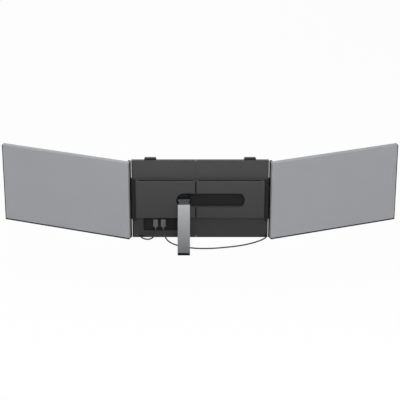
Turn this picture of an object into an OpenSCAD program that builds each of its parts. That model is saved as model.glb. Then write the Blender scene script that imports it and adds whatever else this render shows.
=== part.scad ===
// Pair of side screens on a telescoping back plate with a swivelling kickstand.
// +Z is up, +Y is the side the screens face, +X is right when seen from behind.
// The origin is on the bottom edge of the back plate, in the middle of its thickness.

/* [Back plate] */
// Width of the closed plate
plate_w = 313; // [300:1:380]
// Height of the plate
plate_h = 193; // [160:0.1:240]
// Thickness of the plate
plate_t = 7; // [6:0.1:10]
// Thickness of the moulded walls
wall = 1.5; // [1.2:0.1:2]
// How far the bands rise towards the middle housing
band_rise = 1.5; // [0.5:0.1:3]
// Distance of the seam to the left of the middle
seam_left = 9.7; // [5:0.1:20]
// Gap between the two halves of the plate
seam_gap = 0.5; // [0.4:0.1:1]
// Gap between the two halves of the middle housing
groove_w = 3; // [1:0.1:5]
// How far the right half pulls out
pull_out = 35; // [10:1:45]

/* [Middle housing] */
// Height of its lower edge above the table
mid_z = 54; // [48:1:60]
// Height of the housing
mid_h = 92; // [85:1:100]
// How far it stands proud of the plate
mid_d = 12; // [11:0.1:16]
// Length of each half beyond the hinge pocket
hinge_pocket = 9.5; // [8:0.1:12]
// Chamfer along its edges
mid_chamfer = 1.2; // [0.5:0.1:2]

/* [Kickstand] */
// Distance of the swivel to the left of the middle
pivot_left = 37.1; // [30:0.1:45]
// Height of the swivel above the housing's lower edge
pivot_up = 44.4; // [40:0.1:50]
// Width of the leg
leg_w = 28; // [24:0.1:32]
// Thickness of the leg
leg_t = 6; // [4:0.1:6.4]
// Angle of the open leg from the upright
leg_tilt = 41; // [35:1:50]
// Room on each side of the stowed leg
slot_room = 3.75; // [2:0.05:5]
// Height of the rubber foot
foot_h = 4.3; // [3:0.1:8]
// Diameter of the leg's hinge pin
leg_pin_d = 3; // [2.5:0.1:4]
// Thickness of the swivel disc
disc_t = 2.4; // [1.8:0.1:3]

/* [Side screens] */
// Width of each screen
wing_w = 319.3; // [280:0.1:360]
// Height of each screen
wing_h = 191; // [170:0.1:230]
// Thickness of each screen
wing_t = 11.5; // [9:0.1:14]
// Forward swing of each screen as it stands
wing_angle = 20.7; // [0:0.1:45]
// Depth of the hinge spine in front of the screen
spine_d = 7; // [6:0.1:9]
// Width of the hinge spine
spine_w = 6; // [5.5:0.1:8]
// Width of the bezel at the outer side
bezel_side = 3.6; // [3.4:0.1:10]
// Width of the bezel at the top
bezel_top = 5.5; // [4:0.1:10]
// Height of the chin below the picture
bezel_chin = 11.5; // [9:0.1:24]
// Height of the dark strip that shows under the back cover
chin_strip = 3; // [2:0.1:5]
// Width of the dark strip that shows beside the back cover
edge_strip = 1.7; // [1:0.1:3]
// Corner radius of the back cover
cover_r = 1.2; // [1:0.1:6]

/* [Screen hinges] */
// Diameter of the hinge pins
hinge_pin_d = 4; // [3:0.1:5]
// Diameter of the hinge knuckles
knuckle_d = 9; // [8:0.1:9.4]
// Length of the screen's knuckle
knuckle_wing = 14; // [8:1:16]
// Height of the lower end of the hinge pocket
hinge_z = 46; // [40:0.5:60]
// Height of the hinge pocket
hinge_h = 100.5; // [90:0.5:110]

/* [Lid clips] */
// Distance of each clip from the middle
clip_x = 113.5; // [90:0.5:125]
// Width of a clip at its top
clip_w = 25; // [16:1:30]
// Thickness of the clip's stem
clip_t = 2.8; // [2:0.1:3]
// Height of the clip's head above the plate
clip_head = 4.5; // [2:0.1:6]
// Depth of the gap that a laptop lid goes in
clip_gap = 4.7; // [4.2:0.1:4.8]
// How far a clip pulls up
clip_travel = 25; // [10:1:30]

/* [Hub and leads] */
// Distance of the port bay's left end from the middle
bay_left = 131; // [125:1:135]
// Distance of the port bay's right end from the middle
bay_right = 53; // [52.8:0.1:60]
// Height of the port bay's lower edge
bay_z = 17.6; // [14:0.1:24]
// Width of a plug's grip
plug_w = 11.4; // [10:0.1:12.5]
// Thickness of a plug's grip
plug_t = 6.5; // [5.5:0.1:7]
// Length of a plug's grip
plug_len = 22; // [18:0.5:26]
// Diameter of the leads
lead_d = 3.2; // [2.8:0.1:3.8]

/* [Hidden] */

$fn = 48;
eps = 0.01;
// clearance between pieces that slide or swing past each other
slip = 0.3;
// running clearance of pins in their bores, on the radius
run = 0.05;
LEFT = -1;
RIGHT = 1;

back_y = -plate_t / 2;
front_y = plate_t / 2;
plate_x = plate_w / 2;
seam_x = -seam_left;
// the plate's inner room, between its back wall and the front cover
room_back = back_y + wall;
room_front = front_y - wall;

mid_top = mid_z + mid_h;
mid_y = back_y - mid_d;
mid_x = plate_x - hinge_pocket;
hinge_top = hinge_z + hinge_h;

pivot_x = -pivot_left;
pivot_z = mid_z + pivot_up;
floor_t = 1.3;
// the floor lies on the plate with this little room
floor_gap = 0.02;
floor_y = back_y - floor_gap - floor_t;
slot_r = leg_w / 2 + slot_room;
disc_r = slot_r - 0.6;
washer_t = 0.25;
disc_back = floor_y - slip;
disc_front = disc_back - disc_t;
// the leg swings on a pin just below the swivel
head_r = 3.7;
leg_axis_y = disc_front - slip - head_r;
pin_drop = 1.4;
leg_axis_z = pivot_z - pin_drop;
head_len = 11.4;
ear_t = 3;
finger_room = 6.9;
foot_tip = (leg_axis_z + leg_t / 2 * sin(leg_tilt)) / cos(leg_tilt);
slot_end = pivot_x + pin_drop + foot_tip + finger_room;
slot_end_r = 24;
notch_w = leg_w + 1.5;

hinge_x = plate_x;
hinge_y = 2.7;
knuckle_r = knuckle_d / 2;
// distances of the screen's faces from the hinge axis, towards the back
spine_front = -1.4;
screen_face = spine_front - spine_d;
cover_back = screen_face - wing_t;
wing_in = 0.3;
wing_out = wing_in + wing_w;
bezel_t = 1.5;
barrel_z = [hinge_z + 0.2, hinge_top - 0.2];
// lower ends of the screen's two knuckles
knuckle_z = [hinge_z + 15, hinge_top - 15 - knuckle_wing];
pin_reach = 8.5;

clip_stem = clip_travel + 12;
clip_pad_t = 0.8;
clip_lip_t = 1.6;
clip_lip = 10;

socket_w = 9;
socket_t = 3.3;
socket_y = back_y - 6;
hdmi_x = -bay_right - 13;
hdmi_w = 11.2;
hdmi_t = 3.4;
board_t = 1.6;
board_back = socket_y + max(socket_t, hdmi_t) / 2;
plug_x = [-bay_left + 28.3, -bay_left + 46.1];
plug_top = mid_z - 1.5;
plug_z = plug_top - plug_len;
tip_w = 8.2;
tip_t = 2.3;
grommet_r = 3;
grommet_x = [-plate_x + 19, plate_x - 3.2];
grommet_z = 3.2;

// Middle of the left lead, from its plug to its grommet
left_route = [
    [-102.7, -9.5, 30.5], [-102.7, -9.5, 25.5], [-102.7, -9.6, 20.5], [-103, -10.4, 15.2],
    [-104.3, -12, 10.5], [-106.8, -13.8, 7], [-110.3, -15.4, 4.4], [-114.5, -16.8, 2.6],
    [-119, -17.6, 1.7], [-123.7, -17.4, 1.6], [-128.2, -15.8, 1.7], [-132.2, -13, 1.9],
    [-135.3, -9.9, 2.4], [-137.1, -7.3, 3], [-137.5, -5.2, 3.2], [-137.5, -3.4, 3.2]
];
// Middle of the right lead, from its plug to its grommet
right_route = [
    [-84.9, -9.5, 30.5], [-84.9, -9.5, 25.5], [-84.8, -9.6, 20.5], [-84.2, -10.4, 15.2],
    [-82.6, -12.4, 10], [-80.4, -15.6, 6.2], [-77.8, -20, 3.5], [-74.5, -25.6, 2],
    [-70.5, -32, 1.6], [-65.5, -38.6, 1.6], [-59, -45, 1.6], [-51, -50.8, 1.6],
    [-41.5, -56, 1.6], [-31, -60.4, 1.6], [-19.5, -63.8, 1.6], [-6, -66.2, 1.6],
    [8, -67, 1.6], [22, -66.6, 1.6], [36, -65, 1.6], [50, -62.4, 1.6],
    [64, -59.4, 1.6], [78, -55.8, 1.6], [92, -51.4, 1.6], [105, -46, 1.6],
    [117, -39.8, 1.6], [127.5, -33, 1.6], [136.8, -25.8, 1.6], [144.4, -18.8, 1.6],
    [149.8, -12.8, 2], [152.6, -8.4, 2.8], [153.3, -5.4, 3.2], [153.3, -3.4, 3.2]
];
// height of a lead's middle where it lies on the table
lead_rest = 1.6;

CHARCOAL = "#4b4b4c";
DARK = "#2a2a2b";
BLACK = "#1b1b1c";
COVER_GREY = "#999a9e";
STEEL = "#8d8e91";
RUBBER = "#232324";

// ---------- shared shapes ----------

// a block from its two ends along each axis
module block(x, y, z) {
    translate([x[0], y[0], z[0]])
        cube([x[1] - x[0], y[1] - y[0], z[1] - z[0]]);
}

// a block whose corners are rounded as seen from behind
module rounded_block(x, y, z, r) {
    translate([0, y[1], 0])
        rotate([90, 0, 0])
            linear_extrude(y[1] - y[0])
                translate([x[0] + r, z[0] + r])
                    rounded_outline(x[1] - x[0], z[1] - z[0], r);
}

// a rectangle with round corners, its lower left corner's centre at the origin
module rounded_outline(w, h, r) {
    square([w - 2 * r, h - 2 * r]);
    translate([-r, 0])
        square([w, h - 2 * r]);
    translate([0, -r])
        square([w - 2 * r, h]);
    for (x = [0, w - 2 * r], z = [0, h - 2 * r])
        translate([x, z])
            circle(r);
}

// section of a slab, with chamfers of c at its back
module chamfered(a, y, c) {
    polygon([
        [a[0], y[1]], [a[0], y[0] + c], [a[0] + c, y[0]],
        [a[1] - c, y[0]], [a[1], y[0] + c], [a[1], y[1]]
    ]);
}

// a rounded block whose back edges are chamfered by c
module soft_slab(x, y, z, r, c) {
    intersection() {
        rounded_block(x, y, z, r);
        translate([0, 0, z[0]])
            linear_extrude(z[1] - z[0])
                chamfered(x, y, c);
        translate([x[0], 0, 0])
            rotate([90, 0, 90])
                linear_extrude(x[1] - x[0])
                    mirror([1, -1, 0])
                        chamfered(z, y, c);
    }
}

// a rod along Z
module rod(r, z0, z1) {
    translate([0, 0, z0])
        cylinder(r = r, h = z1 - z0);
}

// a rod from the back of the object towards the front, along Y
module rod_y(x, z, r, y0, y1) {
    translate([x, y1, z])
        rotate([90, 0, 0])
            cylinder(r = r, h = y1 - y0);
}

// mirrors what is drawn for the right side when it belongs to the left
module on_side(side) {
    mirror([side == LEFT ? 1 : 0, 0, 0])
        children();
}

// ---------- back plate ----------

// chamfer along the plate's upper and lower edges
edge_c = 0.6;

// side profile of the plate's shell: the bands slope up to the middle housing
module plate_profile() {
    polygon([
        [room_front, 0], [back_y + edge_c, 0], [back_y, edge_c],
        [back_y - band_rise, mid_z], [back_y, mid_z],
        [back_y, mid_top], [back_y - band_rise, mid_top],
        [back_y, plate_h - edge_c], [back_y + edge_c, plate_h], [room_front, plate_h]
    ]);
}

module plate_solid(x0, x1) {
    translate([x0, 0, 0])
        rotate([90, 0, 90])
            linear_extrude(x1 - x0)
                plate_profile();
}

// room at the plate's end for the hinge bracket, drawn for the right side
module hinge_cut() {
    block([mid_x, plate_x + 1], [mid_y, front_y + 1], [hinge_z, hinge_top]);
}

// the channel that a clip's stem slides in
module clip_channel(grow) {
    block([clip_x - clip_w / 2 - grow, clip_x + clip_w / 2 + grow],
        [-clip_t / 2 - grow, clip_t / 2 + grow],
        [plate_h - clip_stem - 2, plate_h + 1]);
}

// the tray slides between the inner screws
tray_left = 33;
tray_right = pull_out + 7;
tray_edge = 4;
screw_x = [mid_x - 4, max(seam_left + tray_left, tray_right - seam_left) + 7.3];
screw_z = [9, plate_h - 9];
screw_head_r = 2;
screw_r = 1;

// places a screw in each corner of a half, drawn for the right side
module at_screws() {
    for (x = screw_x, z = screw_z)
        translate([x, 0, z])
            children();
}

// the shell of one half: back wall, rim and screw posts, open to the front
module plate_half(side) {
    x0 = side == LEFT ? -plate_x : seam_x + seam_gap / 2;
    x1 = side == LEFT ? seam_x - seam_gap / 2 : plate_x;
    // the wall at the seam stays open, for the tray slides through it
    in0 = side == LEFT ? x0 + wall : x0 - 1;
    in1 = side == LEFT ? x1 + 1 : x1 - wall;
    difference() {
        plate_solid(x0, x1);
        difference() {
            block([in0, in1], [room_back, room_front + 1], [wall, plate_h - wall]);
            on_side(side)
                at_screws()
                    rod_y(0, 0, screw_r + 1.2, back_y, room_front);
            if (side == LEFT)
                block([-bay_left - wall, -bay_right + wall], [room_back, room_front],
                    [bay_z - wall, mid_z + wall]);
            on_side(side)
                translate([abs(grommet_x[side == LEFT ? 0 : 1]), 0, grommet_z])
                    rod_y(0, 0, grommet_r + 1, back_y, room_front);
        }
        on_side(side) {
            hinge_cut();
            clip_channel(slip);
            at_screws()
                rod_y(0, 0, screw_r + run, room_back, room_front + 1);
            translate([abs(grommet_x[side == LEFT ? 0 : 1]), 0, grommet_z])
                rod_y(0, 0, grommet_r - 1 + run, back_y - 1, room_front - 1);
        }
        if (side == LEFT) {
            block([-bay_left, -bay_right], [mid_y, room_front - 1], [bay_z, mid_z]);
            rod_y(pivot_x, pivot_z, 2 + run, back_y - band_rise - 1, room_front + 1);
        }
    }
}

// the flat cover that closes a half from the front
module front_cover(side) {
    x0 = side == LEFT ? -plate_x : seam_x + seam_gap / 2;
    x1 = side == LEFT ? seam_x - seam_gap / 2 : plate_x;
    difference() {
        block([x0, x1], [room_front, front_y], [0, plate_h]);
        on_side(side) {
            hinge_cut();
            at_screws() {
                rod_y(0, 0, screw_r + run, room_front - 1, front_y + 1);
                rod_y(0, 0, screw_head_r + 0.1, front_y - 0.9, front_y + 1);
            }
        }
    }
}

module cover_screws(side) {
    on_side(side)
        at_screws()
            difference() {
                union() {
                    rod_y(0, 0, screw_head_r, front_y - 0.9, front_y - 0.1);
                    rod_y(0, 0, screw_r, room_back + 0.2, front_y - 0.9);
                }
                // the cross for the screwdriver
                block([-1.2, 1.2], [front_y - 0.6, front_y], [-0.25, 0.25]);
                block([-0.25, 0.25], [front_y - 0.6, front_y], [-1.2, 1.2]);
            }
}

// two soft strips that a laptop's lid rests on
module lid_pads(side) {
    on_side(side)
        for (z = [12, plate_h - 34])
            rounded_block([40, 90], [front_y, front_y + 1], [z, z + 12], 3);
}

module lead_grommet(side) {
    on_side(side)
        translate([abs(grommet_x[side == LEFT ? 0 : 1]), 0, grommet_z])
            difference() {
                union() {
                    rod_y(0, 0, grommet_r - 1, back_y - 0.3, room_front - 1);
                    rod_y(0, 0, grommet_r, back_y - 1.4, back_y - 0.25);
                }
                rod_y(0, 0, lead_d / 2 + run, back_y - 2, back_y + 0.2);
            }
}

// the black box that the plugs' bay is lined with, open to the back
module port_bay_liner() {
    t = 0.8;
    difference() {
        block([-bay_left, -bay_right], [back_y + 0.2, room_front - 1], [bay_z, mid_z]);
        block([-bay_left + t, -bay_right - t], [back_y - 1, room_front - 1 - t],
            [bay_z + t, mid_z - t]);
    }
}

// ---------- middle housing ----------

// side profile of the raised housing, with chamfered edges
module housing_profile() {
    polygon([
        [back_y, mid_z], [mid_y + mid_chamfer, mid_z], [mid_y, mid_z + mid_chamfer],
        [mid_y, mid_top - mid_chamfer], [mid_y + mid_chamfer, mid_top], [back_y, mid_top]
    ]);
}

// outline of the slot that the leg stows in, seen from behind, grown by g
module slot_outline(g) {
    translate([pivot_x, pivot_z])
        circle(slot_r + g);
    intersection() {
        translate([pivot_x, pivot_z - slot_r - g])
            square([slot_end - pivot_x + g, 2 * (slot_r + g)]);
        translate([slot_end - slot_end_r, pivot_z])
            scale_round_end(g);
    }
}

// the slot's right end is a shallow arc
module scale_round_end(g) {
    circle(slot_end_r + g);
    translate([-2 * slot_end, -slot_r - g])
        square([2 * slot_end, 2 * (slot_r + g)]);
}

module slot_cut(y0, y1, g) {
    translate([0, y1, 0])
        rotate([90, 0, 0])
            linear_extrude(y1 - y0)
                slot_outline(g);
}

// one half of the raised housing
module housing(side) {
    x0 = side == LEFT ? -mid_x : seam_x + groove_w / 2;
    x1 = side == LEFT ? seam_x - groove_w / 2 : mid_x;
    difference() {
        union() {
            translate([x0, 0, 0])
                rotate([90, 0, 90])
                    linear_extrude(x1 - x0)
                        housing_profile();
            // a sunk lip fills the groove between the halves
            if (side == LEFT)
                block([x1 - 1, x1 + groove_w - 0.5], [mid_y + 4, back_y - slip],
                    [mid_z + slip, mid_top - slip]);
        }
        slot_cut(mid_y - 1, back_y + 1, 0);
        // the slot's floor stays with the left half and slides under the right one
        slot_cut(floor_y - slip, back_y + 1, 1 + slip);
        if (side == LEFT) {
            // the leg also folds straight down, through this notch
            block([pivot_x - notch_w / 2, pivot_x + notch_w / 2],
                [mid_y - 1, back_y - band_rise], [mid_z - 1, pivot_z]);
            hub_room();
        }
        // the vent's strip lies on a ledge over a narrower channel
        block(vent_x(side), vent_y, [mid_top - vent_t - 0.4, mid_top + 1]);
        block(inset(vent_x(side), vent_rim), inset(vent_y, vent_rim), [mid_top - 5, mid_top]);
    }
}

vent_y = [mid_y + 2.2, back_y - band_rise - 1.2];
vent_t = 1.2;
vent_rim = 0.8;
vent_pitch = 5;
vent_slot = 3.4;

function vent_x(side) = side == LEFT ? [-mid_x + 6, seam_x - groove_w / 2 - 4]
    : [seam_x + groove_w / 2 + 4, mid_x - 6];
function inset(a, d) = [a[0] + d, a[1] - d];

// the slotted strip in the housing's upper side
module vent(side) {
    x = vent_x(side);
    z = mid_top - vent_t - 0.4;
    difference() {
        block(x, vent_y, [z, z + vent_t]);
        for (a = [x[0] + 1.6 : vent_pitch : x[1] - 1.6 - vent_slot])
            block([a, a + vent_slot], inset(vent_y, vent_rim), [z - 1, z + vent_t + 1]);
    }
}

// room for the board and the sockets above the port bay
module hub_room() {
    block([-bay_left + 6, -bay_right - 6], [mid_y + wall, back_y + 1],
        [mid_z + wall, pivot_z - 22]);
    for (x = plug_x)
        translate([x, 0, 0])
            block([-socket_w / 2 - 0.1, socket_w / 2 + 0.1],
                [socket_y - socket_t / 2 - 0.1, socket_y + socket_t / 2 + 0.1],
                [mid_z - 1, mid_z + wall + 1]);
    translate([hdmi_x, 0, 0])
        block([-hdmi_w / 2 - 0.1, hdmi_w / 2 + 0.1],
            [socket_y - hdmi_t / 2 - 0.1, socket_y + hdmi_t / 2 + 0.1],
            [mid_z - 1, mid_z + wall + 1]);
}

// ---------- hub ----------

module hub_board() {
    block([-bay_left + 8, -bay_right - 8], [board_back, board_back + board_t],
        [mid_z + wall + 0.5, pivot_z - 24]);
}

// a sheet-metal socket, open downwards
module socket(x, w, t, depth) {
    translate([x, socket_y, mid_z + 0.3])
        difference() {
            block([-w / 2, w / 2], [-t / 2, t / 2], [0, depth]);
            block([-w / 2 + 0.3, w / 2 - 0.3], [-t / 2 + 0.3, t / 2 - 0.3], [-1, depth - 0.6]);
        }
}

module usb_c_sockets() {
    for (x = plug_x)
        socket(x, socket_w, socket_t, 8);
}

module mini_hdmi_socket() {
    socket(hdmi_x, hdmi_w, hdmi_t, 8);
}

// ---------- telescoping ----------

// the tray is held in the left half and runs in the right one
module slide_tray() {
    difference() {
        block([seam_x - tray_left, seam_x + tray_right], [room_back + slip, room_front - slip],
            [tray_edge, plate_h - tray_edge]);
        rod_y(pivot_x, pivot_z, 5, room_back, room_front);
    }
}

// one floor under the whole slot, so that no seam shows in it
module slot_floor() {
    difference() {
        slot_cut(floor_y, back_y - floor_gap, 1);
        rod_y(pivot_x, pivot_z, 2 + run, floor_y - 1, back_y + 1);
    }
}

// ---------- screen hinges ----------

bracket_y = mid_y + 3;

// the bracket fills the pocket at the plate's end and carries the hinge's barrel
module hinge_bracket(side) {
    on_side(side)
        difference() {
            union() {
                block([mid_x + 0.2, plate_x], [bracket_y, front_y], barrel_z);
                block([mid_x - 10, mid_x + 1], [room_back + 0.1, room_front - 0.1],
                    [hinge_z + 16, hinge_top - 16]);
                translate([hinge_x, hinge_y, 0])
                    rod(knuckle_r, barrel_z[0], barrel_z[1]);
            }
            // the screen's knuckles swing in these hollows
            translate([hinge_x, hinge_y, 0])
                for (z = knuckle_z) {
                    rod(knuckle_r + slip, z - slip, z + knuckle_wing + slip);
                    rod(hinge_pin_d / 2 + run, z - pin_reach, z + knuckle_wing + pin_reach);
                }
        }
}

module hinge_pins(side) {
    on_side(side)
        translate([hinge_x, hinge_y, 0])
            for (z = knuckle_z)
                rod(hinge_pin_d / 2, z - pin_reach + 0.5, z + knuckle_wing + pin_reach - 0.5);
}

// ---------- side screens ----------

// draws a screen's piece in place: X outwards from the hinge axis, Y towards the picture
module on_wing(side) {
    on_side(side)
        translate([hinge_x, hinge_y, 0])
            rotate([0, 0, wing_angle])
                children();
}

cover_top = wing_h;
cover_low = chin_strip;
cover_out = wing_out - edge_strip;
cover_c = 0.7;

// the picture begins beside the hinge spine
picture_in = wing_in + spine_w + 0.3;

key_z = 150;
key_len = 14;
key_t = 2.4;
key_y = cover_back + wing_t / 2;
key_proud = 0.6;

// the opening that the menu key moves in
module key_hole() {
    block([wing_out - 6, wing_out + 1],
        [key_y - key_t / 2 - slip, key_y + key_t / 2 + slip],
        [key_z - slip, key_z + key_len + slip]);
}

// the back cover is a tray, open towards the picture
module screen_cover(side) {
    on_wing(side)
        difference() {
            soft_slab([wing_in, cover_out], [cover_back, screen_face],
                [cover_low, cover_top], cover_r, cover_c);
            rounded_block([wing_in + wall, cover_out - wall],
                [cover_back + wall, screen_face + 1],
                [cover_low + wall, cover_top - wall], max(cover_r - wall + 0.2, 0.3));
            // the bezel laps over the lower and the outer wall
            block([wing_in + wall, wing_out], [screen_face - bezel_t - 0.1, screen_face + 1],
                [0, cover_top - wall]);
            key_hole();
        }
}

// the dark frame: a bezel in front, and rails that show below and beside the cover
module screen_frame(side) {
    on_wing(side)
        difference() {
            union() {
                rounded_block([wing_in + wall + 0.1, wing_out],
                    [screen_face - bezel_t, screen_face], [0, cover_top - wall - 0.1], 0.5);
                difference() {
                    rounded_block([wing_in, wing_out], [cover_back + 0.4, screen_face],
                        [0, cover_top], cover_r);
                    rounded_block([wing_in - 10, cover_out + 0.1],
                        [cover_back - 1, screen_face + 1],
                        [cover_low - 0.1, cover_top + 10], cover_r);
                }
            }
            block([picture_in, wing_out - bezel_side],
                [screen_face - bezel_t - 1, screen_face + 1],
                [bezel_chin, wing_h - bezel_top]);
            key_hole();
        }
}

panel_t = 3;

module screen_panel(side) {
    on_wing(side)
        union() {
            block([wing_in + 3, cover_out - wall - 0.3],
                [screen_face - bezel_t - panel_t, screen_face - bezel_t - 0.05],
                [cover_low + 4, wing_h - 3.5]);
            block([picture_in + 0.1, wing_out - bezel_side - 0.1],
                [screen_face - bezel_t - 0.1, screen_face - bezel_t + 0.9],
                [bezel_chin + 0.1, wing_h - bezel_top - 0.1]);
        }
}

module driver_board(side) {
    on_wing(side)
        block([wing_in + 40, wing_in + 160], [cover_back + wall, cover_back + wall + 1.6],
            [cover_low + 12, cover_low + 60]);
}

// the spine stands in front of the screen's inner edge and is cut back round the barrel
module hinge_spine(side) {
    on_wing(side)
        difference() {
            block([wing_in, wing_in + spine_w], [screen_face, spine_front], [0, wing_h]);
            rod(knuckle_r + slip, barrel_z[0] - slip, barrel_z[1] + slip);
            for (z = knuckle_z)
                block([-knuckle_r, spine_w - 0.4], [screen_face + 0.4, knuckle_r],
                    [z - 0.1, z + knuckle_wing + 0.1]);
        }
}

// the screen's knuckles, each with a leaf let into the spine
module hinge_leaves(side) {
    on_wing(side)
        for (z = knuckle_z)
            difference() {
                union() {
                    rod(knuckle_r, z, z + knuckle_wing);
                    block([0, spine_w - 0.5], [screen_face + 0.5, spine_front],
                        [z, z + knuckle_wing]);
                }
                rod(hinge_pin_d / 2 + run, z - 1, z + knuckle_wing + 1);
            }
}

module menu_key(side) {
    on_wing(side)
        rounded_block([wing_out - 3, wing_out + key_proud],
            [key_y - key_t / 2, key_y + key_t / 2], [key_z, key_z + key_len], 0.6);
}

// ---------- kickstand ----------

module stand_pivot() {
    rod_y(pivot_x, pivot_z, 2, disc_front + 0.8, room_front - 0.2);
    rod_y(pivot_x, pivot_z, 6, disc_front, disc_front + 0.8);
}

module stand_washer() {
    difference() {
        rod_y(pivot_x, pivot_z, 9, floor_y - washer_t, floor_y);
        rod_y(pivot_x, pivot_z, 2 + run, floor_y - 1, floor_y + 1);
    }
}

rim_w = 1.95;

// bore for the leg's hinge pin
module leg_bore() {
    translate([-leg_w, 0, 0])
        rotate([0, 90, 0])
            cylinder(d = leg_pin_d + 2 * run, h = 2 * leg_w);
}

// the disc turns in the slot's round end, with a raised rim behind the leg's hinge
module swivel_disc() {
    difference() {
        union() {
            rod_y(pivot_x, pivot_z, disc_r, disc_front, disc_back);
            difference() {
                rod_y(pivot_x, pivot_z, disc_r, mid_y + 1, disc_back);
                rod_y(pivot_x, pivot_z, disc_r - rim_w, mid_y, disc_back + 1);
                block([pivot_x - slot_r, pivot_x + slot_r], [mid_y, disc_back + 1],
                    [pivot_z - slot_r, pivot_z]);
            }
        }
        rod_y(pivot_x, pivot_z, 2 + run, disc_front - 1, disc_back + 1);
        rod_y(pivot_x, pivot_z, 6.2, disc_front - 1, disc_front + 0.9);
    }
}

// two ears on the disc that the leg hangs between
module leg_yoke() {
    translate([pivot_x, leg_axis_y, leg_axis_z])
        for (s = [-1, 1])
            difference() {
                union() {
                    translate([s * (leg_w - ear_t) / 2, 0, 0])
                        block([-ear_t / 2, ear_t / 2], [0, disc_front - leg_axis_y],
                            [-head_r, head_r]);
                    translate([s * (leg_w - ear_t) / 2 - ear_t / 2, 0, 0])
                        rotate([0, 90, 0])
                            cylinder(r = head_r, h = ear_t);
                }
                leg_bore();
            }
}

module leg_pin() {
    translate([pivot_x - leg_w / 2 + 0.2, leg_axis_y, leg_axis_z])
        rotate([0, 90, 0])
            cylinder(d = leg_pin_d, h = leg_w - 0.4);
}

// draws a piece of the leg in place: it is drawn hanging straight down from its pin
module on_leg() {
    translate([pivot_x, leg_axis_y, leg_axis_z])
        rotate([-leg_tilt, 0, 0])
            children();
}

// a length of the leg's bar, with chamfers along its edges
module leg_bar(z0, z1) {
    x = leg_w / 2;
    y = leg_t / 2;
    c = 0.8;
    translate([0, 0, z0])
        linear_extrude(z1 - z0)
            polygon([
                [-x, -y + c], [-x + c, -y], [x - c, -y], [x, -y + c],
                [x, y - c], [x - c, y], [-x + c, y], [-x, y - c]
            ]);
}

// the dark head that the pin goes through
module leg_head() {
    between = leg_w / 2 - ear_t - 0.3;
    on_leg()
        difference() {
            union() {
                translate([-between, 0, 0])
                    rotate([0, 90, 0])
                        cylinder(r = head_r, h = 2 * between);
                block([-between, between], [-leg_t / 2, leg_t / 2], [1 - head_len, 0]);
                leg_bar(-head_len, 4 - head_len);
            }
            leg_bore();
        }
}

// the room near the leg's end between two heights
module foot_zone(low) {
    block([pivot_x - leg_w, pivot_x + leg_w], [-2 * foot_tip, 0], [low, foot_h]);
}

module leg() {
    difference() {
        on_leg()
            leg_bar(-foot_tip, -head_len);
        foot_zone(-foot_tip);
    }
}

// the foot is cut level with the table
module leg_foot() {
    intersection() {
        on_leg()
            leg_bar(-foot_tip, -head_len);
        foot_zone(0);
    }
}

// ---------- lid clips ----------

// distance from the plate's middle to the clip's lip
lip_y = front_y + clip_gap + clip_pad_t;
clip_flare = 1.5;
clip_under = plate_h + slip;

// side profile of the clip's head: over the plate's edge, then down in front of the lid
module clip_profile() {
    polygon([
        [-clip_t / 2, clip_under], [front_y + slip, clip_under],
        [front_y + slip, clip_under - 1.6], [lip_y, clip_under - 1.6],
        [lip_y, plate_h - clip_lip], [lip_y + clip_lip_t, plate_h - clip_lip],
        [lip_y + clip_lip_t, clip_under + clip_head - 1.8],
        [lip_y - 3.5, clip_under + clip_head], [-clip_t / 2 + edge_c, clip_under + clip_head],
        [-clip_t / 2, clip_under + clip_head - edge_c]
    ]);
}

// front view of the clip: the head flares out where it meets the plate
module clip_front() {
    half = clip_w / 2;
    low = plate_h - clip_lip - 1;
    top = clip_under + clip_head;
    r = min(2, clip_head / 2);
    polygon([
        [-half, low], [half, low], [half, clip_under - 0.5],
        [half + clip_flare, clip_under], [half, clip_under + 0.5],
        [half, top - r], [half - 0.1 * r, top - 0.6 * r],
        [half - 0.6 * r, top - 0.1 * r], [half - r, top],
        [r - half, top], [0.6 * r - half, top - 0.1 * r],
        [0.1 * r - half, top - 0.6 * r], [-half, top - r],
        [-half, clip_under + 0.5], [-half - clip_flare, clip_under],
        [-half, clip_under - 0.5]
    ]);
}

module clip(side) {
    on_side(side)
        translate([clip_x, 0, 0]) {
            block([-clip_w / 2, clip_w / 2], [-clip_t / 2, clip_t / 2],
                [plate_h - clip_stem, clip_under + eps]);
            intersection() {
                translate([-clip_w, 0, 0])
                    rotate([90, 0, 90])
                        linear_extrude(2 * clip_w)
                            clip_profile();
                translate([0, 3 * lip_y, 0])
                    rotate([90, 0, 0])
                        linear_extrude(6 * lip_y)
                            clip_front();
            }
        }
}

module clip_pad(side) {
    on_side(side)
        translate([clip_x, 0, 0])
            block([-clip_w / 2 + 2, clip_w / 2 - 2], [lip_y - clip_pad_t, lip_y],
                [plate_h - clip_lip + 0.6, clip_under - 2.2]);
}

// ---------- leads ----------

boot_len = 4.5;

module plug(x) {
    translate([x, socket_y, 0]) {
        // the tapered boot where the lead leaves the grip
        difference() {
            translate([0, 0, plug_z - boot_len])
                cylinder(r1 = lead_d / 2 + 0.6, r2 = lead_d / 2 + 1.2, h = boot_len);
            rod(lead_d / 2 + run, plug_z - boot_len - 1, plug_z);
        }
        rounded_block([-plug_w / 2, plug_w / 2], [-plug_t / 2, plug_t / 2],
            [plug_z, plug_top], 1.5);
        block([-tip_w / 2, tip_w / 2], [-tip_t / 2, tip_t / 2], [plug_top - eps, mid_z + 5]);
    }
}

// directions along a route, at each of its points
function unit(v) = v / norm(v);
function heading(route, i) = unit(
    route[min(i + 1, len(route) - 1)] - route[max(i - 1, 0)]
);

// stretches a route drawn for the stock sizes between its plug and its grommet
function fitted(route, x0, x1) =
    let (a = route[0], b = route[len(route) - 1])
    [for (p = route)
        let (t = (p[0] - a[0]) / (b[0] - a[0]))
            [x0 + t * (x1 - x0), p[1] + socket_y - a[1],
                t > 0.5 ? p[2]
                    : lead_rest + (p[2] - lead_rest) * (plug_z - lead_rest) / (a[2] - lead_rest)]
    ];

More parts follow.
